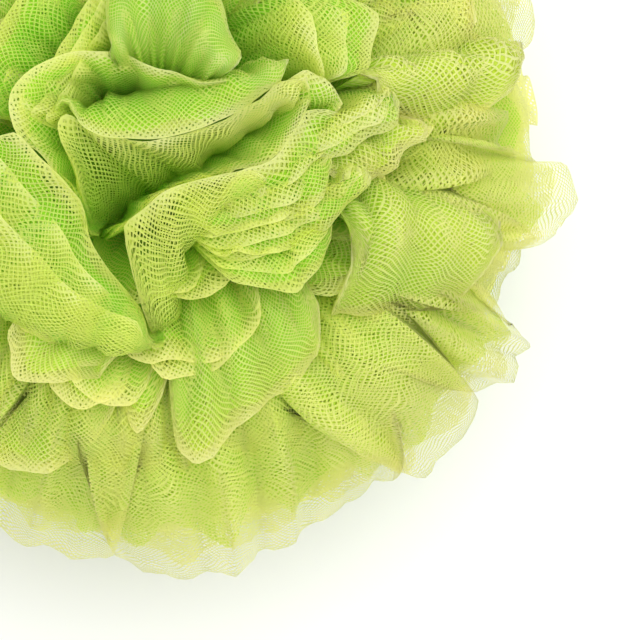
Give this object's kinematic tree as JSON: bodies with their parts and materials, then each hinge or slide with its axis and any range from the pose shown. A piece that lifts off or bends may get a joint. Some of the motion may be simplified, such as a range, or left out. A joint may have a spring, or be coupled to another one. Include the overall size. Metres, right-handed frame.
{
  "type": "mesh bath pouf",
  "caption": "Round bath pouf of gathered fine netting, its ruffles tied round the middle with a cord ring.",
  "frame": {"origin": "on the floor, under the middle of the pouf's pressed side", "axes": "+Z up along the gather's axis, towards the crown of ruffles; +X to the right and +Y up in a view from straight above, with the crown's cup to the left"},
  "size_m": [0.1468, 0.148, 0.102],
  "materials": {
    "netting": "fine open netting, lime green, slightly translucent",
    "cord": "twisted soft cord, lime green"
  },
  "bodies": {
    "root": {"mesh_ruffle": "netting", "tie_cord": "cord"}
  },
  "joints": []
}
